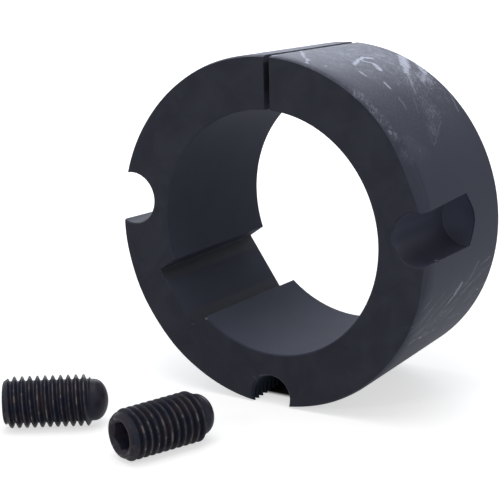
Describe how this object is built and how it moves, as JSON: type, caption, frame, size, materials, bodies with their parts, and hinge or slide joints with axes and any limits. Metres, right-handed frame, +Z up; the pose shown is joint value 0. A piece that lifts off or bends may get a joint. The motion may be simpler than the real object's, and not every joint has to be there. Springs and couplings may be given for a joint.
{
  "type": "taper bush",
  "caption": "Split tapered bush with a keyed bore, half holes round its large end and loose hex-socket clamping screws.",
  "frame": {"origin": "centre of the bore on the large end face", "axes": "+Z up from the floor it rests on; -Y out of the bore at the large end, 3.4 degrees below the bore's own axis because the bush lies on its cone; +X to the right as seen on the large end"},
  "size_m": [0.1183, 0.1181, 0.1073],
  "materials": {
    "bush_iron": "machined and phosphated, dark blue-grey, scuffed pale on the outside",
    "screw_steel": "heat-treated alloy steel, oiled black oxide"
  },
  "bodies": {
    "root": {"taper_bush": "bush_iron", "left_clamping_screw": "screw_steel", "right_clamping_screw": "screw_steel"}
  },
  "joints": []
}
